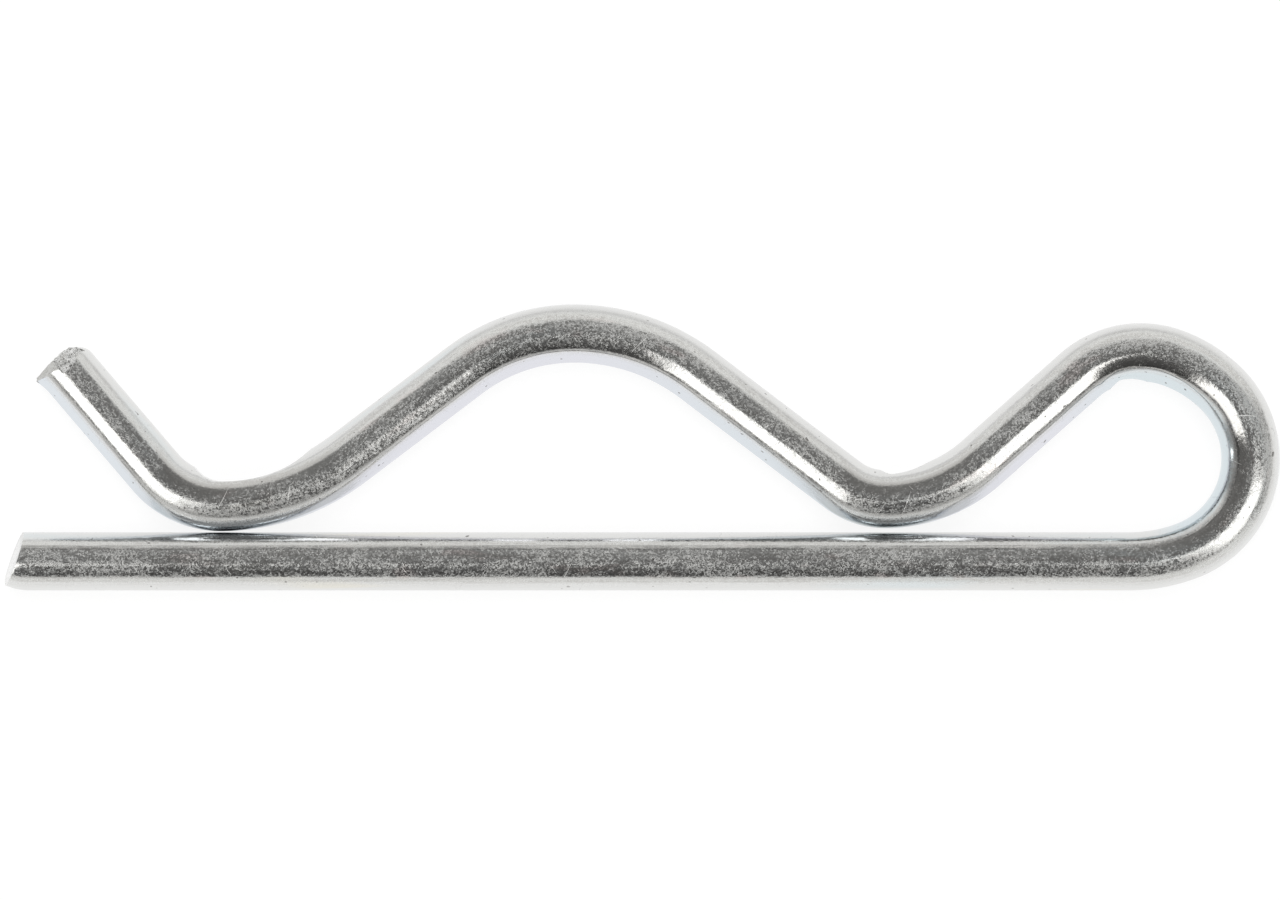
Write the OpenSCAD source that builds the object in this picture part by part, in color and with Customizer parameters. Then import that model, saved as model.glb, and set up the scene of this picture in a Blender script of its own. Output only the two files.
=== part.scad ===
// Hairpin cotter clip: one length of round spring wire, bent flat.
// A straight leg passes through the cross hole of a shaft. The wire then turns
// back through an open loop into a wave leg, whose saddle snaps over the shaft.
//
// The wire is followed from the free end of the straight leg to the free end of
// the wave leg. Heights are measured in the clip's plane, up from the axis of the
// straight leg. All inside radii are those of the forming tools, so a change of
// wire keeps the tools and the clearances. Every length is in millimetres.

/* [Wire] */
// Diameter of the drawn wire
wire_d = 4; // [3:0.1:4.6]

/* [Straight leg] */
// Length from the point of the sheared end to the start of the loop
leg_len = 77.18; // [62:0.02:95]
// Rake of the sheared end, off square, in degrees
leg_rake = 18.8; // [0:0.2:30]
// Lean of the same face out of the clip's plane, in degrees
leg_lean = 5; // [0:0.5:10]
// Radius of the edge that the shear rolled over, on the pointed side
leg_roll_r = 2.6; // [1.5:0.1:3]
// Height of the point above the underside of the wire
leg_point_rise = 0.4; // [0.1:0.05:0.8]

/* [Loop] */
// Inside radius where the leg runs into the loop
heel_r = 9.2; // [7:0.1:12]
// Turn of the heel, in degrees
heel_turn = 20.4; // [12:0.1:26]
// Inside radius of the round end of the loop
eye_r = 4.75; // [3.5:0.05:6]
// Turn of the round end, in degrees
eye_turn = 115.1; // [100:0.1:124]
// Inside radius of the flatter top of the loop
crown_r = 7.2; // [5:0.1:10]
// Turn of the flatter top, in degrees
crown_turn = 24.6; // [16:0.1:30]
// Inside radius of the last bend of the loop
shoulder_r = 4.4; // [3:0.1:6]

/* [Throat] */
// Slope of the flank between loop and throat, in degrees
loop_flank = 41.65; // [36:0.05:48]
// Gap between the throat and the straight leg
throat_gap = 0.25; // [0.15:0.05:1]
// Inside radius of the throat on the loop's side
throat_loop_r = 7.9; // [5:0.1:10]
// Inside radius of the throat on the saddle's side
throat_saddle_r = 2.8; // [2:0.1:6]

/* [Saddle] */
// Slope of both flanks of the saddle, in degrees
saddle_flank = 37.2; // [32:0.1:42]
// Height of the saddle's inner face above the axis of the straight leg
saddle_h = 13.6; // [11:0.1:17]
// Inside radius of the saddle on the throat's side
saddle_throat_r = 12.05; // [8:0.05:13]
// Inside radius of the saddle on the nose's side
saddle_nose_r = 10.4; // [8:0.1:13]

/* [Nose and tip] */
// Gap left between the nose and the straight leg, which it all but touches
nose_gap = 0.05; // [0.05:0.05:0.6]
// Inside radius of the nose on the saddle's side
nose_saddle_r = 12.35; // [8:0.05:14]
// Inside radius of the nose on the tip's side
nose_tip_r = 3.85; // [2.5:0.05:6]
// Slope of the lead-in at the tip, in degrees
tip_flank = 49.5; // [40:0.5:58]
// Length of the lead-in, from the nose's bend to the middle of the sheared end
tip_len = 10.15; // [7:0.05:14]
// Rake of the smooth part of the tip's sheared face, off square, in degrees
tip_rake = 2; // [0:0.5:12]
// Lean of the smooth part out of the clip's plane, in degrees
tip_lean = 9; // [0:0.5:14]
// How far the broken part of the face lies behind the smooth part
break_depth = 0.15; // [0.05:0.01:0.3]
// Rake of the broken part, off square, in degrees
break_rake = 8.5; // [0:0.5:14]
// Lean of the broken part out of the clip's plane, in degrees
break_lean = 12; // [0:0.5:16]
// Radius of the edge that the shear rolled over
tip_roll_r = 1.3; // [0.8:0.05:1.6]
// How far the shear dragged the opposite edge out into a lip
tip_lip = 0.24; // [0.1:0.02:0.4]

/* [Tool marks] */
// Depth of the mark that the former's edge left inside the shoulder
shoulder_mark = 0.34; // [0.1:0.02:0.4]
// Depth of the mark that the former's edge left inside the throat
throat_mark = 0.28; // [0.1:0.02:0.3]
// Depth of the hollow that the forming pin pressed into the inside of the nose
nose_mark = 0.56; // [0.1:0.02:0.6]

/* [Hidden] */
$fn = 96;

wire_r = wire_d / 2;

// Radii of the wire's axis in each bend.
heel_c = heel_r + wire_r;
eye_c = eye_r + wire_r;
crown_c = crown_r + wire_r;
shoulder_c = shoulder_r + wire_r;
throat_loop_c = throat_loop_r + wire_r;
throat_saddle_c = throat_saddle_r + wire_r;
saddle_throat_c = saddle_throat_r + wire_r;
saddle_nose_c = saddle_nose_r + wire_r;
nose_saddle_c = nose_saddle_r + wire_r;
nose_tip_c = nose_tip_r + wire_r;

// The shoulder turns whatever is left to bring the wire onto the loop's flank.
shoulder_turn = 180 + loop_flank - heel_turn - eye_turn - crown_turn;

// Heights of the wire's axis at the low point of each valley and on the saddle.
throat_h = wire_d + throat_gap;
crest_h = saddle_h + wire_r;
nose_h = wire_d + nose_gap;

// A move is [length, 0, 0] for a straight or [0, radius, turn] for a bend, and
// a pose is [x, y, heading]. A turn to the left is positive.
function after(p, m) =
  m[1] == 0
    ? [p[0] + m[0] * cos(p[2]), p[1] + m[0] * sin(p[2]), p[2]]
    : let (s = sign(m[2]), c = [p[0] - s * m[1] * sin(p[2]), p[1] + s * m[1] * cos(p[2])], h = p[2] + m[2])
      [c[0] + s * m[1] * sin(h), c[1] - s * m[1] * cos(h), h];
function pose(moves, i) = i == 0 ? [0, 0, 0] : after(pose(moves, i - 1), moves[i - 1]);

// How far a bend between a slope and the level rises or falls.
function rise(r, slope) = r * (1 - cos(slope));

// The loop starts at the origin, at the end of the straight leg.
loop_moves = [
  [0, heel_c, heel_turn],
  [0, eye_c, eye_turn],
  [0, crown_c, crown_turn],
  [0, shoulder_c, shoulder_turn]
];
loop_end = pose(loop_moves, 4);

// Each flank is as long as the heights of the bends at its ends ask for.
loop_flank_len = (loop_end[1] - throat_h - rise(throat_loop_c, loop_flank)) / sin(loop_flank);
throat_flank_len =
  (crest_h - throat_h - rise(throat_saddle_c, saddle_flank) - rise(saddle_throat_c, saddle_flank))
  / sin(saddle_flank);
nose_flank_len =
  (crest_h - nose_h - rise(saddle_nose_c, saddle_flank) - rise(nose_saddle_c, saddle_flank))
  / sin(saddle_flank);

wave_moves = [
  [loop_flank_len, 0, 0],
  [0, throat_loop_c, -loop_flank],
  [0, throat_saddle_c, -saddle_flank],
  [throat_flank_len, 0, 0],
  [0, saddle_throat_c, saddle_flank],
  [0, saddle_nose_c, saddle_flank],
  [nose_flank_len, 0, 0],
  [0, nose_saddle_c, -saddle_flank],
  [0, nose_tip_c, -tip_flank],
  [tip_len, 0, 0]
];
moves = concat(loop_moves, wave_moves);

// Where the wire is at its lowest, and where the shoulder ends.
throat_low = pose(moves, 6);
nose_low = pose(moves, 12);
shoulder_at = [
  loop_end[0] - shoulder_c * sin(loop_end[2]),
  loop_end[1] + shoulder_c * cos(loop_end[2])
];

// The clip's origin is under the middle of its outline.
eye_start = after([0, 0, 0], loop_moves[0]);
reach = eye_start[0] - eye_c * sin(eye_start[2]) + eye_c + wire_r;
mid_x = (reach - leg_len) / 2;
mid_y = crest_h / 2;

// Each half of a bend runs this many degrees past the middle, into the other half.
lap = 2;
// Rounded edges start this far outside the wire, so that they cross its surface.
crossing = 0.03;
// Size of the cutters, well past what they cut.
over = 4 * wire_d;

// Part of a ring of wire that leaves the origin along +X and turns left.
module arc(r, angle) {
  translate([0, r, 0])
    rotate([0, 0, -90])
      rotate_extrude(angle = angle)
        translate([r, 0])
          circle(r = wire_r);
}

// Half of a bend at the origin, ahead of it or behind it.
module half_bend(m, ahead) {
  rotate([m[2] < 0 ? 180 : 0, ahead ? 0 : 180, 0])
    arc(m[1], abs(m[2]) / 2 + lap);
}

// Moves its children from the start of a move to its end.
module carry(m) {
  if (m[1] == 0)
    translate([m[0], 0, 0])
      children();
  else
    translate([0, sign(m[2]) * m[1], 0])
      rotate([0, 0, m[2]])
        translate([0, -sign(m[2]) * m[1], 0])
          children();
}

// The wire from move i on. What meets at a joint is drawn in the joint's frame.
module wire_from(i) {
  if (i > 0 && moves[i - 1][1] > 0)
    half_bend(moves[i - 1], false);
  if (i < len(moves)) {
    if (moves[i][1] > 0)
      half_bend(moves[i], true);
    else if (i < len(moves) - 1)
      rotate([0, 90, 0])
        cylinder(r = wire_r, h = moves[i][0]);
    else
      mirror([0, 1, 0])
        sheared_tip();
    carry(moves[i])
      wire_from(i + 1);
  }
}

// What lies ahead of a sheared face at the origin, from the height y up.
module shear_cut(rake, lean, y) {
  rotate([0, 0, rake])
    rotate([0, lean, 0])
      translate([0, y, -over / 2])
        cube([over, over - y, over]);
}

// What lies outside an edge rounded about the origin, towards +X and +Y.
module edge_cut(r) {
  difference() {
    translate([0, 0, -over / 2])
      cube([over, over, over]);
    translate([0, 0, -over])
      cylinder(r = r, h = 2 * over);
  }
}

// Straight leg, back along -X from the origin to its sheared end. The shear
// left a raked face and rounded the underside off towards the point.
module straight_leg() {
  point_y = leg_point_rise - wire_r;
  roll_y = leg_roll_r - wire_r - crossing;
  roll_x = sqrt(leg_roll_r * leg_roll_r - (point_y - roll_y) * (point_y - roll_y));
  difference() {
    translate([-leg_len - wire_d, 0, 0])
      rotate([0, 90, 0])
        cylinder(r = wire_r, h = leg_len + wire_d);
    translate([-leg_len, point_y, 0])
      rotate([0, 180, 0])
        shear_cut(leg_rake, leg_lean, -over);
    translate([roll_x - leg_len, roll_y, 0])
      rotate([0, 0, 180])
        edge_cut(leg_roll_r);
  }
}

// Lead-in along +X from the origin to its sheared end. The blade rolled the +Y
// edge over, the metal broke part of the way through, and the rest was dragged
// out into a lip on the -Y edge.
module sheared_tip() {
  lip_inset = 0.12;
  lip_len = 1.2;
  lip_angle = atan((tip_lip + 0.8 * lip_inset) / lip_len);
  break_y = -0.2 * wire_r;
  roll_y = wire_r + crossing - tip_roll_r;
  roll_x =
    tip_len - break_depth + (roll_y - break_y) * tan(break_rake) + wire_r * tan(break_lean)
    + crossing - tip_roll_r;
  difference() {
    union() {
      rotate([0, 90, 0])
        cylinder(r = wire_r, h = tip_len + wire_d);
      translate([tip_len - lip_len, 0, 0])
        rotate([0, 0, -lip_angle])
          rotate([0, 90, 0])
            cylinder(r = wire_r - lip_inset, h = lip_len + wire_r);
    }
    translate([tip_len, break_y, 0])
      shear_cut(-tip_rake, -tip_lean, -over);
    translate([tip_len - break_depth, break_y, 0])
      shear_cut(-break_rake, -break_lean, 0);
    translate([roll_x, roll_y, 0])
      edge_cut(tip_roll_r);
  }
}

// A former's edge pressed in at the origin: inside the arc of radius r that starts
// there with its centre the given way, and inside the outline.
module former_mark(r, way, outline) {
  translate([0, 0, -over / 2])
    linear_extrude(height = over)
      intersection() {
        rotate([0, 0, way])
          translate([r, 0])
            circle(r = r);
        polygon(outline);
      }
}

// The shoulder closed on the edge of its former, which stood a little askew.
module shoulder_former() {
  back = 23;
  askew = 8;
  at = shoulder_r + shoulder_mark;
  way = loop_flank + 90 - back;
  translate([shoulder_at[0] + at * cos(way), shoulder_at[1] + at * sin(way), 0])
    rotate([0, 0, loop_flank])
      rotate(a = -askew, v = [cos(back), -sin(back), 0])
        former_mark(
          shoulder_r + 1.2,
          -122.6,
          [[-1.8, -0.2], [0.9, 0.1], [3.1, -1.8], [1, -4.2], [-1.8, -1.6]]
        );
}

// The throat's former pressed in from its lowest point up the loop's flank.
module throat_former() {
  ramp = 0.9;
  r = 6;
  lean = 5;
  translate([throat_low[0] + 0.34, throat_h + wire_r - throat_mark, 0])
    former_mark(
      r,
      90 + lean,
      [[-ramp, throat_mark + 0.13], [0, 0], [over, 0], [over, over / 2], [-ramp, over / 2]]
    );
}

// The nose was wound on a pin thinner than the bend that it sprang back to.
module nose_former() {
  r = 7.57;
  ramp_x = -0.57 * nose_tip_r;
  ramp_y = 0.178 * nose_tip_r + 0.09;
  translate([nose_low[0] + 0.635, nose_h + wire_r - nose_mark, 0])
    former_mark(
      r,
      90,
      [
        [ramp_x - 0.635, ramp_y + nose_mark],
        [-1.235, nose_mark - 0.47],
        [-0.8, -0.2],
        [over / 2, -0.2],
        [over / 2, over / 2],
        [ramp_x - 0.635, over / 2]
      ]
    );
}

module clip_wire() {
  color("silver")
    translate([-mid_x, -mid_y, wire_r])
      difference() {
        union() {
          straight_leg();
          wire_from(0);
        }
        shoulder_former();
        throat_former();
        nose_former();
      }
}

clip_wire();
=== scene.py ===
"""Looks of a hairpin cotter clip: one bent length of zinc plated spring wire.

The wire is wound in edit mode from one ring of its section: extruded along each
straight and spun round each bend. Its tool marks are pressed in, its two ends are
sheared off, and its plate, scratches and broken metal are procedural.
"""

import logging
import math
from dataclasses import dataclass, field
from enum import Enum, IntEnum
from typing import Any, Iterable, Optional, Sequence, Union

import bpy
import numpy as np
from mathutils import Matrix, Vector


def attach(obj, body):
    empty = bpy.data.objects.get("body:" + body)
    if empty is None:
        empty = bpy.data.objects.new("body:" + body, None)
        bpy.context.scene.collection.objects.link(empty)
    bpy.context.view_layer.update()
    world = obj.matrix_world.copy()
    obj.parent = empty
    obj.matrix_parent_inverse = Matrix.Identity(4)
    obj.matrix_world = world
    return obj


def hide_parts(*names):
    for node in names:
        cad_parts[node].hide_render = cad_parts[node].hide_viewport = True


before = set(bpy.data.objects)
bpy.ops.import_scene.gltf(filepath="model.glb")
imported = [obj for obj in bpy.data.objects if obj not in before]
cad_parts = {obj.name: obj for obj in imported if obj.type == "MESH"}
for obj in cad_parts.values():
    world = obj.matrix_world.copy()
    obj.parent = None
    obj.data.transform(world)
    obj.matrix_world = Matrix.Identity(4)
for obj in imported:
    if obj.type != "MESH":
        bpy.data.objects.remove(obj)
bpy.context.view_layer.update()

MM = 0.001
PLACE = "straight_wire"  # Attribute: where a point would be if the wire were straight.
JOIN = 1e-7  # Points nearer than this, in metres, are made one.
FAINT = 1e-4  # A press leaves out points of less weight.
STRAIN = "strain"  # Attribute: how far the wire was stretched at a point by its bend.
LOG = logging.getLogger("clip")
Pair = tuple[float, float]
Triple = tuple[float, float, float]


# ---------------------------------------------------------------- shader maths


class Graph:
    """A node tree that nodes are added to by type, settings and inputs."""

    def __init__(self, tree: bpy.types.NodeTree) -> None:
        """Takes over a tree and empties it.

        Args:
            tree: The node tree of a material or a world.
        """
        self.tree = tree
        tree.nodes.clear()

    def node(self, kind: str, settings: Optional[dict[str, Any]] = None,
             **inputs: Any) -> bpy.types.Node:
        """Adds one node.

        Args:
            kind: The node's type, without "ShaderNode" in front.
            settings: Properties set before the inputs; "stops" fills a colour ramp.
            **inputs: Values or Signals by socket name, with spaces as underscores,
                or by socket number as in0, in1 and so on.

        Returns:
            The node.
        """
        made = self.tree.nodes.new("ShaderNode" + kind)
        for key, value in (settings or {}).items():
            if key == "stops":
                self._fill_ramp(made, value)
            else:
                setattr(made, key, value)
        for key, value in inputs.items():
            if key.startswith("in") and key[2:].isdigit():
                socket = made.inputs[int(key[2:])]
            else:
                socket = made.inputs[key.replace("_", " ")]
            if isinstance(value, Signal):
                self.tree.links.new(value.socket, socket)
            else:
                socket.default_value = value
        return made

    @staticmethod
    def _fill_ramp(ramp: bpy.types.Node, stops: Sequence[Pair]) -> None:
        """Sets a colour ramp's stops.

        Args:
            ramp: The colour ramp node.
            stops: Pairs of position and grey level, in order.
        """
        elements = ramp.color_ramp.elements
        while len(elements) < len(stops):
            elements.new(1.0)
        for element, (place, level) in zip(elements, stops):
            element.position = place
            element.color = (level, level, level, 1.0)

    def signal(self, kind: str, out: Union[int, str] = 0,
               settings: Optional[dict[str, Any]] = None, **inputs: Any) -> "Signal":
        """Adds one node and returns one of its outputs.

        Args:
            kind: The node's type, without "ShaderNode" in front.
            out: The output's name or number.
            settings: Properties set before the inputs.
            **inputs: As for node.

        Returns:
            The output, as a Signal.
        """
        return Signal(self, self.node(kind, settings, **inputs).outputs[out])

    def blend(self, low: Any, high: Any, amount: Any) -> "Signal":
        """Mixes two colours.

        Args:
            low: Colour or Signal where amount is 0.
            high: Colour or Signal where amount is 1.
            amount: Number or Signal.

        Returns:
            The mixed colour.
        """
        low, high = (value if isinstance(value, Signal) else (*value, 1.0) for value in (low, high))
        return self.signal("Mix", 2, {"data_type": "RGBA"}, in0=amount, in6=low, in7=high)

    def parts(self, vector: "Signal") -> tuple["Signal", "Signal", "Signal"]:
        """Takes a vector apart into its X, Y and Z."""
        outputs = self.node("SeparateXYZ", None, Vector=vector).outputs
        return Signal(self, outputs[0]), Signal(self, outputs[1]), Signal(self, outputs[2])


class Signal:
    """A node's output that Python's operators act on."""

    def __init__(self, graph: Graph, socket: bpy.types.NodeSocket) -> None:
        """Wraps a socket.

        Args:
            graph: The graph that the socket is in.
            socket: An output socket.
        """
        self.graph = graph
        self.socket = socket

    def _math(self, operation: str, *others: Any, first: Any = None,
              clamp: bool = False) -> "Signal":
        """Adds a Math node.

        Args:
            operation: The node's operation.
            *others: The second and third values.
            first: The first value, when it isn't this signal.
            clamp: Whether the result is kept between 0 and 1.

        Returns:
            The node's value.
        """
        values = [self if first is None else first, *others]
        inputs = {f"in{i}": value for i, value in enumerate(values)}
        settings = {"operation": operation, "use_clamp": clamp}
        return self.graph.signal("Math", 0, settings, **inputs)

    def __add__(self, other: Any) -> "Signal":
        """Adds."""
        return self._math("ADD", other)

    __radd__ = __add__

    def __sub__(self, other: Any) -> "Signal":
        """Subtracts."""
        return self._math("SUBTRACT", other)

    def __rsub__(self, other: Any) -> "Signal":
        """Subtracts this signal from a number."""
        return self._math("SUBTRACT", self, first=other)

    def __mul__(self, other: Any) -> "Signal":
        """Multiplies."""
        return self._math("MULTIPLY", other)

    __rmul__ = __mul__

    def __truediv__(self, other: Any) -> "Signal":
        """Divides."""
        return self._math("DIVIDE", other)

    def __rtruediv__(self, other: Any) -> "Signal":
        """Divides a number by this signal."""
        return self._math("DIVIDE", self, first=other)

    def step(self, low: float, high: float) -> "Signal":
        """Rises smoothly from 0 at low to 1 at high, or falls if low is the greater."""
        return self.graph.signal(
            "MapRange", 0, {"interpolation_type": "SMOOTHSTEP"},
            Value=self, From_Min=low, From_Max=high, To_Min=0.0, To_Max=1.0)

    def function(self, operation: str) -> "Signal":
        """Applies a function of one number, such as ARCCOSINE."""
        return self._math(operation)

    def clamped(self) -> "Signal":
        """Keeps the signal between 0 and 1."""
        return self._math("ADD", 0.0, clamp=True)

    def scaled(self, by: Triple) -> "Signal":
        """Multiplies a vector by another, part by part."""
        return self.graph.signal("VectorMath", 0, {"operation": "MULTIPLY"}, in0=self, in1=by)


# -------------------------------------------------------------------- finishes


class Face(Enum):
    """How an end's face comes out: sheared and then plated, sheared clean, or broken off."""

    PLATED = "plated"
    SHEARED = "sheared"
    BROKEN = "broken"


@dataclass(frozen=True)
class Grain:
    """A noise on the wire.

    Per_mm holds its grains per millimetre along the wire and across it. Detail is
    the number of finer octaves and rough is their strength. Shift moves the pattern,
    so that two noises differ, and turn, in degrees, turns it away from the wire's way.
    """

    per_mm: Triple
    detail: float = 2.0
    rough: float = 0.5
    shift: float = 0.0
    turn: float = 0.0


@dataclass(frozen=True)
class Metal:
    """What the clip's surfaces share: where on the wire a point is, and the shader."""

    name: str = "metal"
    colour: Triple = (0.745, 0.745, 0.735)
    roughness: float = 0.12
    depth_mm: float = 0.03
    metallic: float = 1.0

    def _open(self) -> tuple[bpy.types.Material, Graph]:
        """Makes an empty material.

        Returns:
            The material and its graph.
        """
        material = bpy.data.materials.new(self.name)
        material.use_nodes = True
        return material, Graph(material.node_tree)

    @staticmethod
    def _place(graph: Graph) -> Signal:
        """Returns the place on the straightened wire, in millimetres: along it, then across."""
        place = graph.signal("Attribute", "Vector", {"attribute_name": PLACE})
        return place.scaled((1.0 / MM,) * 3)

    @staticmethod
    def _noise(graph: Graph, at: Signal, grain: Grain) -> Signal:
        """Adds noise of a given grain.

        Args:
            graph: The graph to add to.
            at: The place on the wire.
            grain: The noise's size, detail and turn.

        Returns:
            The noise, about 0.5 on average.
        """
        if grain.turn:
            at = graph.signal("VectorRotate", 0, {"rotation_type": "Z_AXIS"}, Vector=at,
                              Angle=math.radians(grain.turn))
        place = graph.signal("VectorMath", 0, {"operation": "ADD"},
                             in0=at.scaled(grain.per_mm), in1=(grain.shift,) * 3)
        return graph.signal("TexNoise", 0, None, Vector=place, Scale=1.0, Detail=grain.detail,
                            Roughness=grain.rough)

    @staticmethod
    def _cells(graph: Graph, at: Signal, per_mm: Triple) -> Signal:
        """Adds crystal-like cells, each of one random level.

        Args:
            graph: The graph to add to.
            at: The place on the wire.
            per_mm: Cells per millimetre along the wire and across it.

        Returns:
            The cells' levels, about 0.5 on average.
        """
        colour = graph.signal("TexVoronoi", "Color", {"feature": "F1"}, Vector=at.scaled(per_mm),
                              Scale=1.0)
        return graph.signal("RGBToBW", 0, None, Color=colour)

    def _close(self, material: bpy.types.Material, graph: Graph, colour: Any, roughness: Any,
               height: Signal, metallic: Any = None) -> bpy.types.Material:
        """Joins colour, roughness and height to the shader.

        Args:
            material: The material to finish.
            graph: Its graph.
            colour: Base colour.
            roughness: Roughness.
            height: Height of the surface, where 1 is depth_mm.
            metallic: How metallic the surface is, where it isn't the same all over.

        Returns:
            The finished material.
        """
        bump = graph.signal("Bump", 0, None, Strength=1.0, Distance=self.depth_mm * MM,
                            Height=height)
        shader = graph.node("BsdfPrincipled", None, Base_Color=colour, Roughness=roughness,
                            Metallic=self.metallic if metallic is None else metallic, Normal=bump)
        out = graph.node("OutputMaterial")
        graph.tree.links.new(shader.outputs[0], out.inputs[0])
        return material


@dataclass(frozen=True)
class ZincPlate(Metal):
    """Bright zinc over drawn wire: crystals, draw lines, bloom, pits, scratches and tints.

    A pair that ends in _band gives the levels where a mask starts and is full. The
    bands across the wire are in millimetres from its axis, towards the left of travel.
    """

    name: str = "zinc_plate"
    # Colours of the plate.
    cool: Triple = (0.705, 0.745, 0.755)
    straw: Triple = (0.765, 0.745, 0.685)
    rose: Triple = (0.76, 0.70, 0.685)
    dull: Triple = (0.60, 0.59, 0.575)
    squeezed: Triple = (0.50, 0.49, 0.475)
    # Colour of the painted dark reflection line along the inner edge.
    painted_reflection_colour: Triple = (0.225, 0.222, 0.218)
    bloom_colour: Triple = (0.78, 0.78, 0.76)
    pit_colour: Triple = (0.16, 0.15, 0.14)
    # The slow drift from cool to straw, and the rose stains.
    drift: Grain = Grain((0.05, 0.35, 0.35), shift=4.0)
    cool_band: Pair = (0.56, 0.72)
    straw_band: Pair = (0.38, 0.28)
    stain: Grain = Grain((0.3, 0.9, 0.9), shift=37.0)
    stain_band: Pair = (0.60, 0.70)
    top_band: Pair = (1.3, 1.0)
    squeezed_band: Pair = (0.0, -0.10)
    # Painted dark reflection: a dark line painted along the inner edge, broken up by noise, nearer
    # the middle on the straight leg.
    reflection_breakup: Grain = Grain((0.5, 5.0, 5.0), rough=0.6, shift=71.0)
    reflection_breakup_band: Pair = (0.20, 0.52)
    reflection_band: Pair = (0.84, 0.98)
    reflection_end_band: Pair = (1.28, 1.18)
    reflection_shift: float = 0.1
    reflection_leg_band: Pair = (80.0, 70.0)
    painted_reflection_amount: float = 0.85
    # The blue and lilac film that pooled inside the loop and the wave, by place along.
    pooled: Triple = (0.69, 0.755, 0.785)
    lilac: Triple = (0.745, 0.75, 0.80)
    hue_span: float = 200.0
    hue_stops: tuple[Pair, ...] = (
        (0.52, 0.0), (0.555, 1.0), (0.585, 1.0), (0.615, 0.3), (0.68, 0.4), (0.74, 1.0),
        (0.83, 1.0), (0.87, 0.45))
    loop_band: Pair = (80.0, 84.0)
    inner_band: Pair = (1.0, 1.5)
    # The surface.
    grain: Grain = Grain((4.5, 6.5, 6.5), rough=0.6, shift=11.0)
    peel: Grain = Grain((0.7, 1.3, 1.3), shift=3.0)
    draw_lines: Grain = Grain((0.10, 4.5, 4.5), detail=3.0, rough=0.6)
    patches: Grain = Grain((0.25, 0.6, 0.6), rough=0.6, shift=19.0)
    clusters: Grain = Grain((1.6, 2.6, 2.6), detail=3.0, rough=0.6, shift=23.0)
    crystals_per_mm: Triple = (10.0, 12.5, 12.5)
    worked_band: Pair = (-0.14, 0.14)
    bloom_band: Pair = (0.20, 0.80)
    flat_band: Pair = (0.8, 2.6)
    dull_band: Pair = (0.35, 0.0)
    # Pits, and scratches in two directions.
    pits: Grain = Grain((2.1, 2.6, 2.6), detail=1.0, shift=41.0)
    pit_band: Pair = (0.74, 0.79)
    scratches: Grain = Grain((11.0, 0.24, 0.24), detail=1.0, shift=53.0, turn=28.0)
    scuffs: Grain = Grain((12.0, 0.5, 0.5), detail=1.0, shift=67.0, turn=-38.0)
    scratch_band: Pair = (0.765, 0.79)

    def _tinted(self, graph: Graph, at: Signal, strain: Signal) -> Signal:
        """Mixes the plate's colour, which drifts slowly from cool to straw along the wire.

        Args:
            graph: The material's graph.
            at: The place on the wire.
            strain: How far the wire was stretched there by its bend.

        Returns:
            The colour.
        """
        along, left, _ = graph.parts(at)
        drift = self._noise(graph, at, self.drift)
        colour = graph.blend(self.colour, self.cool, drift.step(*self.cool_band))
        colour = graph.blend(colour, self.straw, drift.step(*self.straw_band))
        stain = self._noise(graph, at, self.stain).step(*self.stain_band)
        top = left.step(*self.top_band) * (-1.0 * left).step(*self.top_band)
        colour = graph.blend(colour, self.rose, stain * top)
        colour = graph.blend(colour, self.squeezed, strain.step(*self.squeezed_band) * top)
        # Painted dark reflection: a dark line along the inner edge, broken up by noise.
        reflection_breakup = self._noise(graph, at, self.reflection_breakup).step(*self.reflection_breakup_band)
        across = left + self.reflection_shift * along.step(*self.reflection_leg_band)
        painted_reflection = across.step(*self.reflection_band) * across.step(*self.reflection_end_band) * reflection_breakup
        colour = graph.blend(colour, self.painted_reflection_colour, self.painted_reflection_amount * painted_reflection)
        hue = graph.signal("ValToRGB", 0, {"stops": self.hue_stops}, Fac=along / self.hue_span)
        film = graph.blend(self.pooled, self.lilac, hue)
        inner = along.step(*self.loop_band) * left.step(*self.inner_band)
        return graph.blend(colour, film, inner)

    def material(self) -> bpy.types.Material:
        """Builds the plate's material.

        Returns:
            The material.
        """
        material, graph = self._open()
        at = self._place(graph)
        up = graph.parts(at)[2]
        flat_on = (up * up).step(*self.flat_band)
        strain = graph.signal("Attribute", "Fac", {"attribute_name": STRAIN})
        worked = strain.step(*self.worked_band)
        grain, peel, draw_lines, patches, clusters = (
            self._noise(graph, at, noise)
            for noise in (self.grain, self.peel, self.draw_lines, self.patches, self.clusters))
        crystals = self._cells(graph, at, self.crystals_per_mm)
        bloom = flat_on * (
            0.8 * crystals + 0.7 * (patches - 0.5) + 0.8 * (clusters - 0.5)
            + 0.3 * (draw_lines - 0.5) + 0.5 * (worked - 0.5)).step(*self.bloom_band)
        pits = self._noise(graph, at, self.pits).step(*self.pit_band)
        scratches, scuffs = (self._noise(graph, at, noise).step(*self.scratch_band)
                             for noise in (self.scratches, self.scuffs))
        marks = (scratches + scuffs).clamped()
        height = (0.20 * grain + (0.35 + 0.3 * worked) * peel + 0.06 * draw_lines
                  - 0.25 * pits - 0.08 * marks)
        dull = flat_on * (0.5 * crystals + 1.2 * (draw_lines - 0.5)).step(*self.dull_band)
        colour = graph.blend(self._tinted(graph, at, strain), self.dull, dull)
        colour = graph.blend(colour, self.bloom_colour, 0.5 * bloom)
        colour = graph.blend(colour, self.pit_colour, 0.75 * pits)
        roughness = self.roughness + 0.16 * bloom + 0.25 * marks
        metallic = self.metallic - (0.38 * bloom + 0.5 * marks).clamped()
        return self._close(material, graph, colour, roughness, height, metallic)


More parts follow.
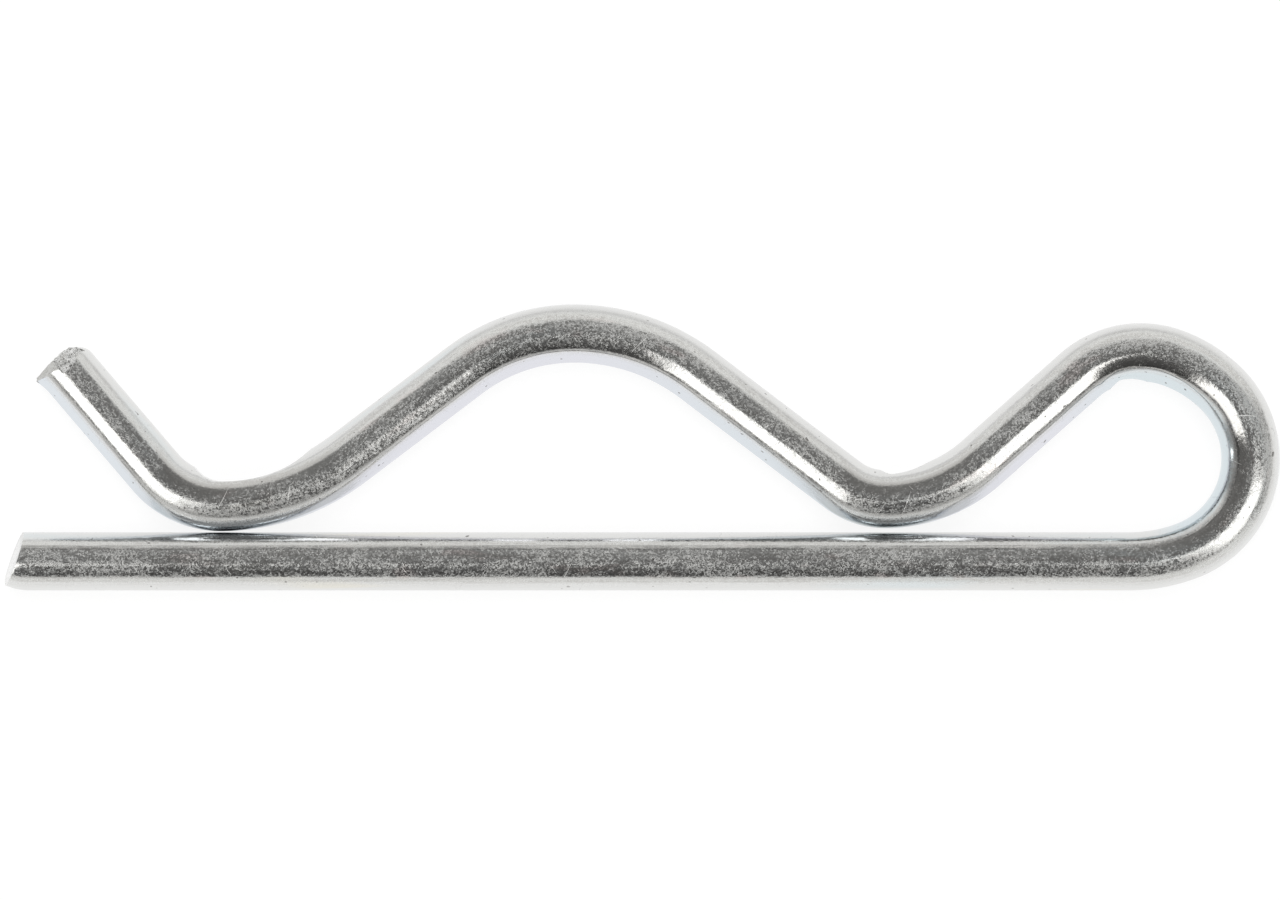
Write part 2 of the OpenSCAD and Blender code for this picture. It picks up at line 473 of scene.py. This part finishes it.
@dataclass(frozen=True)
class PlatedEnd(Metal):
    """An end that was sheared before it was plated: smooth, with a painted highlight, its colour
    brighter in the middle.
    """

    name: str = "plated_end"
    # The bright middle of this colour is a painted highlight; it falls to a darker colour at the
    # rim.
    colour: Triple = (0.92, 0.92, 0.91)
    roughness: float = 0.2
    outside_highlight_colour: Triple = (0.76, 0.76, 0.75)
    highlight_fade_band: Pair = (0.4, 3.6)
    grit: Grain = Grain((4.0, 4.0, 4.0), detail=3.0, rough=0.6, shift=7.0)

    def material(self) -> bpy.types.Material:
        """Builds the plated face's material.

        Returns:
            The material.
        """
        material, graph = self._open()
        at = self._place(graph)
        grit = self._noise(graph, at, self.grit)
        _, left, up = graph.parts(at)
        # Painted highlight: bright colour in the middle of the end, fading to the darker colour
        # towards the rim.
        highlight_fade = (left * left + up * up + 3.0 * (grit - 0.5)).step(*self.highlight_fade_band)
        colour = graph.blend(self.colour, self.outside_highlight_colour, highlight_fade)
        return self._close(material, graph, colour, self.roughness, grit)


@dataclass(frozen=True)
class ShearedSteel(Metal):
    """The smooth part of a sheared end: grey, with fine lines in the way of the blade."""

    name: str = "sheared_steel"
    colour: Triple = (0.60, 0.60, 0.58)
    roughness: float = 0.28
    depth_mm: float = 0.12
    dark_colour: Triple = (0.36, 0.35, 0.33)
    dark_band: Pair = (0.48, 0.66)
    drag: Grain = Grain((2.0, 1.5, 6.0), detail=3.0, rough=0.7)
    grit: Grain = Grain((4.5, 4.5, 4.5), detail=3.0, rough=0.65, shift=5.0)

    def material(self) -> bpy.types.Material:
        """Builds the sheared face's material.

        Returns:
            The material.
        """
        material, graph = self._open()
        at = self._place(graph)
        drag = self._noise(graph, at, self.drag)
        grit = self._noise(graph, at, self.grit)
        colour = graph.blend(self.colour, self.dark_colour, grit.step(*self.dark_band))
        roughness = self.roughness + 0.2 * grit
        return self._close(material, graph, colour, roughness, 0.5 * drag + 0.5 * grit)


@dataclass(frozen=True)
class BrokenSteel(Metal):
    """The part of a sheared end where the metal broke: coarse bright facets."""

    name: str = "broken_steel"
    colour: Triple = (0.90, 0.90, 0.89)
    depth_mm: float = 0.15
    metallic: float = 0.75
    dark_colour: Triple = (0.20, 0.19, 0.18)
    dark_band: Pair = (0.56, 0.63)
    grit: Grain = Grain((5.0, 5.0, 5.0), detail=3.0, rough=0.7)

    def material(self) -> bpy.types.Material:
        """Builds the broken face's material.

        Returns:
            The material.
        """
        material, graph = self._open()
        grit = self._noise(graph, self._place(graph), self.grit)
        colour = graph.blend(self.colour, self.dark_colour, grit.step(*self.dark_band))
        return self._close(material, graph, colour, self.roughness + 0.2 * grit, grit)


# ------------------------------------------------------------------- the wire


class Mark(IntEnum):
    """Places on the wire, each as the number of the move that starts there."""

    SHOULDER_END = 7
    THROAT_LOW = 9
    THROAT_END = 10
    NOSE_START = 14
    NOSE_LOW = 15
    LEAD_IN = 16


@dataclass(frozen=True)
class Move:
    """One straight or one bend of the wire's axis, in millimetres and degrees."""

    length: float = 0.0
    radius: float = 0.0
    turn: float = 0.0
    ring_step: float = 0.25

    @property
    def bends(self) -> bool:
        """Whether this is a bend."""
        return self.radius > 0.0

    @property
    def run(self) -> float:
        """Length along the wire."""
        return self.radius * math.radians(abs(self.turn)) if self.bends else self.length


@dataclass(frozen=True)
class Pose:
    """Where the wire's axis is, which way it heads, and how far along it is."""

    x: float
    y: float
    heading: float
    along: float

    def ahead(self) -> np.ndarray:
        """Returns the direction of travel."""
        way = math.radians(self.heading)
        return np.array([math.cos(way), math.sin(way)])

    def left(self) -> np.ndarray:
        """Returns the direction to the left of travel."""
        forward = self.ahead()
        return np.array([-forward[1], forward[0]])

    def centre(self, move: Move) -> np.ndarray:
        """Returns the centre of a bend that starts here."""
        place = np.array([self.x, self.y])
        return place + self.left() * math.copysign(move.radius, move.turn)

    def after(self, move: Move) -> "Pose":
        """Returns the pose at the end of a move that starts here."""
        if not move.bends:
            place = np.array([self.x, self.y]) + self.ahead() * move.length
            return Pose(place[0], place[1], self.heading, self.along + move.run)
        turned = Pose(self.x, self.y, self.heading + move.turn, 0.0)
        place = self.centre(move) - turned.left() * math.copysign(move.radius, move.turn)
        return Pose(place[0], place[1], turned.heading, self.along + move.run)


@dataclass(frozen=True)
class Press:
    """A hollow pressed into one side of the wire, or a swelling where depth is negative.

    It is deepest at one place along the wire and runs out over reach before and after
    it. Side is the angle round the section, from the left of travel. A flat press
    leaves a facet, and one that isn't flat fades away round the wire. Slant moves it
    along the wire for each step to the left.
    """

    name: str
    at: float
    reach: Pair
    depth: float
    side: float = 0.0
    flat: bool = True
    belly: Pair = (1.0, 1.0)
    tail: float = 1.0
    slant: float = 0.0

    def weight(self, along: np.ndarray, angle: np.ndarray, out: np.ndarray,
               wire_r: float) -> np.ndarray:
        """Returns how much of the depth each point takes.

        Args:
            along: Distance along the wire, in millimetres.
            angle: Angle round the section from the left of travel, in degrees.
            out: Distance from the wire's axis, in millimetres.
            wire_r: Radius of the wire before it was pressed, in millimetres.

        Returns:
            Weights between 0 and 1.
        """
        gap = along - self.at - self.slant * wire_r * np.cos(np.radians(angle))
        reach = np.where(gap < 0.0, self.reach[0], self.reach[1])
        belly = np.where(gap < 0.0, self.belly[0], self.belly[1])
        fade = 1.0 - np.clip(np.abs(gap) / reach, 0.0, 1.0) ** belly
        fade = np.clip(fade, 0.0, 1.0) ** self.tail
        facing = np.cos(np.radians(angle - self.side))
        if not self.flat:
            return fade * np.clip(facing, 0.0, 1.0) ** 2.0
        sunk = out - (wire_r - self.depth * fade) / np.clip(facing, 0.05, 1.0)
        return np.clip(sunk / self.depth, 0.0, 1.0)


@dataclass(frozen=True)
class Shear:
    """A plane that an end of the wire is sheared along.

    The plane passes through a point that lies ahead of the end's pose and to the left
    of travel. Rake turns it to the left, and lean tips its face upwards. Where it is
    one-sided, only the metal to the right of that point is removed. Facet is the size
    of a broken face's facets, and rough is how far they are tilted and lifted.
    """

    name: str
    ahead: float
    left: float
    rake: float
    lean: float
    face: Face
    one_sided: bool = False
    facet: float = 0.34
    rough: float = 0.0


@dataclass
class ClipWire:
    """The whole clip, in millimetres and degrees, as it is bent from its straight leg on.

    Spare is the wire left beyond the leg's end for the shears, and origin is where
    the leg ends and the loop begins.
    """

    wire_r: float = 2.0
    leg_len: float = 77.18
    spare: float = 2.0
    sides: int = 96
    origin: Pair = (33.4395, 7.8)
    leg_end_moves: tuple[Move, ...] = (
        Move(length=3.0, ring_step=0.08),
        Move(length=2.5, ring_step=0.25),
        Move(length=73.68, ring_step=1.6),
    )
    loop_moves: tuple[Move, ...] = (
        Move(radius=11.2, turn=20.4),
        Move(radius=6.75, turn=115.1),
        Move(radius=9.2, turn=24.6),
        Move(radius=6.4, turn=61.55, ring_step=0.15),
    )
    wave_moves: tuple[Move, ...] = (
        Move(length=8.9445, ring_step=0.4),
        Move(radius=9.9, turn=-41.65, ring_step=0.2),
        Move(radius=4.8, turn=-37.2, ring_step=0.15),
        Move(length=12.4291, ring_step=0.8),
        Move(radius=14.05, turn=37.2, ring_step=0.35),
        Move(radius=12.4, turn=37.2, ring_step=0.35),
        Move(length=10.101, ring_step=0.8),
        Move(radius=14.35, turn=-37.2, ring_step=0.25),
        Move(radius=5.85, turn=-49.5, ring_step=0.2),
    )
    lead_in_moves: tuple[Move, ...] = (
        Move(length=8.2, ring_step=0.4),
        Move(length=3.95, ring_step=0.1),
    )
    tip_len: float = 10.15
    # The cutters that shear the ends, and the facets that a rough one is broken up into.
    cutter_size: float = 8.0
    break_cuts: int = 79
    break_seed: int = 11
    break_slope: float = 1.6
    break_lift: float = 0.25
    tiny: float = 0.001
    # How the sharp edges are broken, in millimetres, and shaded, in degrees.
    edge: float = 0.06
    sharp: float = 38.0
    smooth: float = 32.0
    # How far a point may lie past a move's end, and past the wire's, and still be on it.
    lap: float = 0.02
    past_end: float = 9.0
    far_off: float = 1e8
    # The strain is averaged over this length on either side.
    strain_reach: float = 1.2
    poses: list[Pose] = field(default_factory=list)
    moves: list[Move] = field(default_factory=list)

    def __post_init__(self) -> None:
        """Works out where every move starts."""
        self.moves = [*self.leg_end_moves, *self.loop_moves, *self.wave_moves, *self.lead_in_moves]
        pose = Pose(self.origin[0] - self.leg_len - self.spare, -self.origin[1], 0.0, 0.0)
        for move in self.moves:
            self.poses.append(pose)
            pose = pose.after(move)
        self.poses.append(pose)

    # -- places along the wire

    def along(self, mark: Mark) -> float:
        """Returns how far along the wire a place is."""
        return self.poses[mark].along

    def presses(self) -> list[Press]:
        """Lists the tool marks and the edges that the shears rolled over or dragged.

        Returns:
            The presses, in the order that they are made.
        """
        start = self.spare
        shoulder = self.along(Mark.SHOULDER_END)
        throat = self.along(Mark.THROAT_LOW)
        throat_end = self.along(Mark.THROAT_END)
        nose_start = self.along(Mark.NOSE_START)
        nose = self.along(Mark.NOSE_LOW)
        lead_in = self.along(Mark.LEAD_IN)
        tip = lead_in + self.tip_len
        return [
            Press("leg_point", start - 0.4, (2.0, 2.1), 0.62, side=180.0, flat=False, tail=1.8),
            Press("leg_roll", start + 0.45, (2.5, 0.9), 0.6, side=90.0, flat=False, tail=2.6,
                  slant=0.34),
            Press("shoulder_former", shoulder - 2.57, (2.7, 1.1), 0.3, belly=(1.6, 1.0)),
            Press("shoulder_facet", shoulder - 2.6, (9.5, 2.4), 0.24, side=30.0, belly=(1.6, 1.2)),
            self._edge_facet(shoulder - 1.5, throat - 2.6),
            self._edge_facet(throat_end - 2.0, nose_start + 4.5),
            self._edge_facet(lead_in - 2.5, tip + 4.0),
            Press("throat_former", throat - 0.43, (3.5, 0.96), 0.29, side=180.0, belly=(1.5, 1.0)),
            Press("nose_pin", nose - 0.2, (7.3, 3.0), 0.58, side=180.0, belly=(3.4, 2.0)),
            Press("tip_roll", tip + 0.3, (1.4, 2.0), 1.25, side=180.0, flat=False, tail=2.4),
            Press("tip_lip", tip + 0.2, (1.4, 2.0), -0.27, flat=False, tail=1.5),
        ]

    @staticmethod
    def _edge_facet(first: float, last: float) -> Press:
        """Returns the facet along the wave's inner edge from one place on the wire to another."""
        middle, half = 0.5 * (first + last), 0.5 * (last - first)
        return Press("wave_facet", middle, (half, half), 0.16, side=30.0, belly=(9.0, 4.0))

    def shears(self) -> list[tuple[Pose, Shear]]:
        """Lists the cuts that end the wire, each with the pose it is measured from.

        Returns:
            Pairs of pose, heading out of the wire, and shear.
        """
        first = self.poses[0]
        leg_end = Pose(first.x + self.spare, first.y, 180.0, 0.0)
        tip = self.poses[Mark.LEAD_IN]
        return [
            (leg_end, Shear("leg_end", -0.20, 1.6, -18.8, 11.0, Face.PLATED)),
            (tip, Shear("tip_sheared", self.tip_len - 0.06, 0.4, 2.0, 13.0, Face.SHEARED,
                        rough=0.05)),
            (tip, Shear("tip_broken", self.tip_len - 0.34, 0.4, 7.0, 19.0, Face.BROKEN,
                        one_sided=True, rough=0.30)),
        ]

    # -- making the mesh

    def build(self) -> bpy.types.Object:
        """Winds, marks and cuts the wire.

        Returns:
            The finished piece.
        """
        piece = self._start_ring()
        for pose, move in zip(self.poses, self.moves):
            if move.bends:
                self._bend(pose, move)
            else:
                self._extrude(pose, move)
        self._close_ends()
        for press in self.presses():
            self._press(piece, press)
        piece.data.materials.append(ZincPlate().material())
        faces = {
            Face.PLATED: PlatedEnd().material(),
            Face.SHEARED: ShearedSteel().material(),
            Face.BROKEN: BrokenSteel().material(),
        }
        for pose, shear in self.shears():
            self._shear(piece, pose, shear, faces[shear.face])
        self._soften(piece)
        self._map_wire(piece)
        return piece

    def _start_ring(self) -> bpy.types.Object:
        """Adds the ring that the wire is drawn from and opens it for editing.

        Returns:
            The new piece.
        """
        bpy.ops.object.select_all(action="DESELECT")
        first = self.poses[0]
        bpy.ops.mesh.primitive_circle_add(
            vertices=self.sides, radius=self.wire_r * MM, fill_type="NOTHING",
            location=(first.x * MM, first.y * MM, self.wire_r * MM),
            rotation=(0.0, math.pi / 2, 0.0))
        piece = bpy.context.object
        piece.name = "clip"
        bpy.ops.object.transform_apply(location=True, rotation=True, scale=True)
        bpy.ops.object.mode_set(mode="EDIT")
        bpy.ops.mesh.select_all(action="SELECT")
        return piece

    def _extrude(self, pose: Pose, move: Move) -> None:
        """Extrudes the selected ring along a straight.

        Args:
            pose: Where the straight starts.
            move: The straight.
        """
        count = max(1, round(move.length / move.ring_step))
        step = pose.ahead() * move.length / count * MM
        for _ in range(count):
            bpy.ops.mesh.extrude_region_move(
                TRANSFORM_OT_translate={"value": (step[0], step[1], 0.0)})

    def _bend(self, pose: Pose, move: Move) -> None:
        """Spins the selected ring round a bend.

        Args:
            pose: Where the bend starts.
            move: The bend.
        """
        centre = pose.centre(move) * MM
        bpy.ops.mesh.spin(
            steps=max(2, round(move.run / move.ring_step)), angle=-math.radians(move.turn),
            center=(centre[0], centre[1], self.wire_r * MM), axis=(0.0, 0.0, 1.0))

    @staticmethod
    def _close_ends() -> None:
        """Fills the two open rings, turns all faces outwards and leaves edit mode."""
        bpy.ops.mesh.select_mode(type="VERT")
        bpy.ops.mesh.select_all(action="SELECT")
        bpy.ops.mesh.remove_doubles(threshold=JOIN)
        bpy.ops.mesh.fill_holes(sides=0)
        bpy.ops.mesh.normals_make_consistent(inside=False)
        bpy.ops.object.mode_set(mode="OBJECT")

    def _locate(self, points: np.ndarray) -> tuple[np.ndarray, np.ndarray, np.ndarray]:
        """Finds where on the wire each point is.

        Args:
            points: Points in metres, one per row.

        Returns:
            Distance along the wire and offsets from its axis to the left of travel
            and up, all in millimetres.
        """
        flat = points[:, :2] / MM
        up = points[:, 2] / MM - self.wire_r
        best = np.full(len(points), np.inf)
        along = np.zeros(len(points))
        left = np.zeros(len(points))
        last = len(self.moves) - 1
        for index, (pose, move) in enumerate(zip(self.poses, self.moves)):
            if move.bends:
                spread = flat - pose.centre(move)
                reach = np.linalg.norm(spread, axis=1)
                way = math.copysign(1.0, move.turn)
                begin = math.atan2(*(-pose.left() * way)[::-1])
                swept = (np.arctan2(spread[:, 1], spread[:, 0]) - begin) * way
                swept = np.mod(swept + math.pi, 2 * math.pi) - math.pi
                run = swept * move.radius
                offset = (move.radius - reach) * way
            else:
                spread = flat - np.array([pose.x, pose.y])
                run = spread @ pose.ahead()
                offset = spread @ pose.left()
            low = -self.past_end if index == 0 else -self.lap
            high = move.run + (self.past_end if index == last else self.lap)
            gap = np.hypot(offset, up)
            gap = np.where((run >= low) & (run <= high), gap, self.far_off)
            closer = gap < best
            best = np.where(closer, gap, best)
            along = np.where(closer, pose.along + run, along)
            left = np.where(closer, offset, left)
        return along, left, up

    @staticmethod
    def _points(piece: bpy.types.Object) -> np.ndarray:
        """Returns the mesh's points in metres, one per row."""
        points = np.empty(len(piece.data.vertices) * 3)
        piece.data.vertices.foreach_get("co", points)
        return points.reshape(-1, 3)

    def _press(self, piece: bpy.types.Object, press: Press) -> None:
        """Presses one hollow or swelling into the wire.

        Args:
            piece: The wire.
            press: The hollow.
        """
        along, left, up = self._locate(self._points(piece))
        angle = np.degrees(np.arctan2(up, left))
        weights = press.weight(along, angle, np.hypot(left, up), self.wire_r)
        group = piece.vertex_groups.new(name=press.name)
        for index in np.flatnonzero(weights > FAINT):
            group.add([int(index)], float(weights[index]), "REPLACE")
        push = piece.modifiers.new(press.name, "DISPLACE")
        push.vertex_group = press.name
        push.direction = "NORMAL"
        push.mid_level = 0.0
        push.strength = -press.depth * MM
        bpy.context.view_layer.objects.active = piece
        bpy.ops.object.modifier_apply(modifier=push.name)
        piece.vertex_groups.clear()

    def _shear(self, piece: bpy.types.Object, pose: Pose, shear: Shear,
               finish: bpy.types.Material) -> None:
        """Cuts one end along a plane, which is made rough first where the metal broke.

        Args:
            piece: The wire.
            pose: Where the cut is measured from, heading out of the wire.
            shear: The cut.
            finish: Material of the cut face.
        """
        place = np.array([pose.x, pose.y])
        place = place + pose.ahead() * shear.ahead + pose.left() * shear.left
        turn = Matrix.Rotation(math.radians(pose.heading + shear.rake), 4, "Z")
        lean = Matrix.Rotation(-math.radians(shear.lean), 4, "Y")
        size = self.cutter_size
        shift = Vector((size / 2, -size / 2 if shear.one_sided else 0.0, 0.0)) * MM
        bpy.ops.object.select_all(action="DESELECT")
        bpy.ops.mesh.primitive_cube_add(size=size * MM, location=shift)
        cutter = bpy.context.object
        bpy.ops.object.transform_apply(location=True, rotation=False, scale=False)
        cutter.data.materials.append(finish)
        if shear.rough:
            self._break_up(cutter, shear)
        cutter.location = Vector((place[0], place[1], self.wire_r)) * MM
        cutter.rotation_euler = (turn @ lean).to_euler()
        cut = piece.modifiers.new(shear.name, "BOOLEAN")
        cut.operation = "DIFFERENCE"
        cut.solver = "EXACT"
        cut.material_mode = "TRANSFER"
        cut.object = cutter
        bpy.context.view_layer.objects.active = piece
        bpy.ops.object.modifier_apply(modifier=cut.name)
        bpy.data.objects.remove(cutter)

    def _break_up(self, cutter: bpy.types.Object, shear: Shear) -> None:
        """Breaks a cutter's front face into small tilted facets.

        Args:
            cutter: The cutter, with its front face at X = 0.
            shear: The cut that it makes.
        """
        bpy.ops.object.mode_set(mode="EDIT")
        bpy.ops.mesh.select_all(action="DESELECT")
        bpy.ops.object.mode_set(mode="OBJECT")
        for face in cutter.data.polygons:
            face.select = face.normal.x < -0.5
        bpy.ops.object.mode_set(mode="EDIT")
        bpy.ops.mesh.select_mode(type="FACE")
        bpy.ops.mesh.subdivide(number_cuts=self.break_cuts)
        bpy.ops.object.mode_set(mode="OBJECT")
        points = self._points(cutter)
        front = np.flatnonzero(np.abs(points[:, 0]) < self.tiny * MM)
        flat = points[front][:, 1:] / MM
        draws = np.random.default_rng(self.break_seed)
        low, high = flat.min(axis=0), flat.max(axis=0)
        count = int(np.prod(high - low) / shear.facet ** 2)
        seeds = draws.uniform(low, high, (count, 2))
        slopes = draws.normal(0.0, self.break_slope * shear.rough, (count, 2))
        lifts = draws.normal(0.0, self.break_lift * shear.rough, count)
        nearest = np.argmin(((flat[:, None, :] - seeds[None]) ** 2).sum(axis=2), axis=1)
        rise = lifts[nearest] + ((flat - seeds[nearest]) * slopes[nearest]).sum(axis=1)
        inner = np.all((flat > low + self.tiny) & (flat < high - self.tiny), axis=1)
        points[front, 0] += np.where(inner, rise, 0.0) * MM
        cutter.data.vertices.foreach_set("co", points.ravel())

    def _soften(self, piece: bpy.types.Object) -> None:
        """Breaks the sharp edges of the ends and shades the rest smooth.

        Args:
            piece: The wire.
        """
        bevel = piece.modifiers.new("edges", "BEVEL")
        bevel.limit_method = "ANGLE"
        bevel.angle_limit = math.radians(self.sharp)
        bevel.width = self.edge * MM
        bevel.segments = 2
        bevel.use_clamp_overlap = True
        bpy.context.view_layer.objects.active = piece
        piece.select_set(True)
        bpy.ops.object.modifier_apply(modifier=bevel.name)
        bpy.ops.object.shade_smooth_by_angle(angle=math.radians(self.smooth))

    def _map_wire(self, piece: bpy.types.Object) -> None:
        """Stores where each point would be if the wire were straight, and its strain.

        Args:
            piece: The wire.
        """
        along, left, up = self._locate(self._points(piece))
        place = np.stack([along, left, up], axis=1) * MM
        stored = piece.data.attributes.new(PLACE, "FLOAT_VECTOR", "POINT")
        stored.data.foreach_set("vector", place.ravel())
        reach = self.strain_reach
        runs = [pose.along for pose in self.poses]
        headings = np.radians([pose.heading for pose in self.poses])
        turned = (np.interp(along + reach, runs, headings)
                  - np.interp(along - reach, runs, headings))
        strain = piece.data.attributes.new(STRAIN, "FLOAT", "POINT")
        strain.data.foreach_set("value", -left * turned / (2 * reach))

    def hand_over(self, piece: bpy.types.Object) -> None:
        """Puts the piece in the place of the solid that it stands for.

        Args:
            piece: The finished wire.
        """
        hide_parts("clip_wire")
        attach(piece, "root")
        LOG.info("%s: %d faces", piece.name, len(piece.data.polygons))


# ----------------------------------------------------------------- the studio


@dataclass(frozen=True)
class Softbox:
    """A softbox far off, as the clip sees it: a range of azimuths and angles from the zenith.

    Near holds the angles from the zenith at the lowest and the highest azimuth. Skew
    takes the edge of lowest azimuth further out near the zenith.
    """

    azimuth: float
    half_width: float
    near: Pair
    far: float
    skew: float = 0.0
    level: float = 2.1
    edge: float = 1.5
    skew_band: Pair = (32.0, 12.0)

    def mask(self, azimuth: Signal, from_zenith: Signal) -> Signal:
        """Works out where the softbox is.

        Args:
            azimuth: Azimuth of a direction, in degrees from 0 to 360.
            from_zenith: Its angle from the zenith, in degrees.

        Returns:
            1 inside the softbox and 0 outside, with soft edges.
        """
        edge = self.edge
        right, left = self.azimuth - self.half_width, self.azimuth + self.half_width
        skewed = azimuth + self.skew * from_zenith.step(*self.skew_band)
        sides = skewed.step(right - edge, right + edge) * azimuth.step(left + edge, left - edge)
        slope = (self.near[1] - self.near[0]) / (left - right)
        near = from_zenith - slope * azimuth - (self.near[0] - slope * right)
        ends = near.step(-edge, edge) * from_zenith.step(self.far + edge, self.far - edge)
        return sides * ends


@dataclass
class Studio:
    """A pale floor in a light room with a dim ceiling, and the camera over the clip.

    A level of 1 is white. In the directions of the room, side is X, depth is Y and up
    is Z, and a pair that ends in _band gives where a change starts and is complete.
    """

    # The camera.
    frame_width: float = 87.67 * MM
    look_at: Triple = (-0.075 * MM, -0.177 * MM, 2.0 * MM)
    lens: float = 180.0
    sensor: float = 36.0
    clip_start: float = 0.01
    # The floor: its glow as a backdrop, less where the metal mirrors it from the north.
    floor_size: float = 4.0
    floor_colour: Triple = (0.93, 0.93, 0.93)
    floor_glow: float = 1.09
    glow_share: float = 0.78
    mirror_loss: float = 0.03
    north_loss: float = 0.36
    north_band: Pair = (10.0, 24.0)
    # The room's levels, by direction.
    room_colour: Triple = (1.0, 1.0, 0.985)
    ceiling_tilt: float = 0.07
    ceiling_band: Pair = (0.43, 0.58)
    side_wall: float = 0.34
    front_wall: float = 0.52
    front_band: Pair = (0.10, 0.32)
    ceiling_level: float = 0.165
    ceiling_slope: float = 0.12
    # The even light from above.
    lamp_level: float = 2.4
    lamp_size: float = 0.8
    lamp_place: Triple = (0.0, 0.36, 0.84)
    softboxes: tuple[Softbox, ...] = (
        Softbox(azimuth=330.0, half_width=20.0, near=(10.0, 14.0), far=56.0, skew=4.5),
        Softbox(azimuth=220.0, half_width=22.0, near=(17.0, 10.5), far=56.0),
        Softbox(azimuth=184.0, half_width=3.5, near=(78.0, 78.0), far=92.0),
    )

    def build(self) -> None:
        """Builds the floor, the room, the lights and the camera."""
        self._floor()
        self._room()
        self._fill()
        self._camera()
        bpy.context.scene.view_settings.view_transform = "Standard"

    def _floor(self) -> None:
        """Lays the floor: white as a backdrop, but still holding the clip's shadow."""
        bpy.ops.object.select_all(action="DESELECT")
        bpy.ops.mesh.primitive_plane_add(size=self.floor_size, location=(0.0, 0.0, 0.0))
        floor = bpy.context.object
        floor.name = "floor"
        material = bpy.data.materials.new("pale_floor")
        material.use_nodes = True
        graph = Graph(material.node_tree)
        rays = graph.node("LightPath")
        camera, glossy, through = (
            Signal(graph, rays.outputs[f"Is {kind} Ray"])
            for kind in ("Camera", "Glossy", "Transmission"))
        seen = (camera + glossy + through).clamped()
        matt = graph.signal("BsdfDiffuse", 0, None, Color=(*self.floor_colour, 1.0))
        depth = graph.parts(graph.signal("TexCoord", "Object"))[1]
        north = (depth / MM).step(*self.north_band)
        loss = (1.0 - camera) * (self.north_loss * north + self.mirror_loss)
        glow = graph.signal("Emission", 0, None, Color=(1.0, 1.0, 1.0, 1.0),
                            Strength=self.floor_glow - loss)
        mix = graph.node("MixShader", None, in0=self.glow_share * seen, in1=matt, in2=glow)
        out = graph.node("OutputMaterial")
        graph.tree.links.new(mix.outputs[0], out.inputs[0])
        floor.data.materials.append(material)

    def _room(self) -> None:
        """Makes the room: pale walls, a dim ceiling, the softboxes, and white for the camera."""
        world = bpy.data.worlds.new("room")
        bpy.context.scene.world = world
        world.use_nodes = True
        graph = Graph(world.node_tree)
        side, depth, up = graph.parts(graph.signal("TexCoord", "Generated"))
        from_zenith = up.function("ARCCOSINE") * math.degrees(1.0)
        turn = graph.signal("Math", 0, {"operation": "ARCTAN2"}, in0=depth, in1=side)
        azimuth = graph.signal("Math", 0, {"operation": "FLOORED_MODULO"},
                               in0=turn * math.degrees(1.0), in1=360.0)
        overhead = (up - self.ceiling_tilt * depth).step(*self.ceiling_band)
        walls = self.side_wall + self.front_wall * (depth * depth).step(*self.front_band)
        ceiling = self.ceiling_level + self.ceiling_slope * depth
        level = walls * (1.0 - overhead) + ceiling * overhead
        for softbox in self.softboxes:
            level = level + (softbox.level - level) * softbox.mask(azimuth, from_zenith)
        camera = graph.signal("LightPath", "Is Camera Ray")
        strength = level * (1.0 - camera) + camera
        back = graph.node("Background", None, Color=(*self.room_colour, 1.0), Strength=strength)
        out = graph.node("OutputWorld")
        graph.tree.links.new(back.outputs[0], out.inputs[0])

    def _fill(self) -> None:
        """Adds an even light from above that the metal doesn't mirror."""
        lamp = bpy.data.lights.new("overhead", "AREA")
        lamp.shape = "DISK"
        lamp.size = self.lamp_size
        lamp.energy = self.lamp_level * math.pi * math.pi * (self.lamp_size / 2) ** 2
        holder = bpy.data.objects.new("overhead", lamp)
        holder.location = self.lamp_place
        _, back, height = self.lamp_place
        holder.rotation_euler = (-math.atan2(back, height), 0.0, 0.0)
        holder.visible_glossy = False
        bpy.context.scene.collection.objects.link(holder)

    def _camera(self) -> None:
        """Hangs the camera over the clip, looking straight down."""
        data = bpy.data.cameras.new("camera")
        data.lens = self.lens
        data.sensor_width = self.sensor
        data.clip_start = self.clip_start
        camera = bpy.data.objects.new("camera", data)
        x, y, height = self.look_at
        camera.location = (x, y, height + self.frame_width * self.lens / self.sensor)
        bpy.context.scene.collection.objects.link(camera)
        bpy.context.scene.camera = camera


def main() -> None:
    """Builds the clip and its studio."""
    logging.basicConfig(level=logging.INFO, format="%(name)s: %(message)s")
    clip = ClipWire()
    clip.hand_over(clip.build())
    Studio().build()


if __name__ == "__main__":
    main()
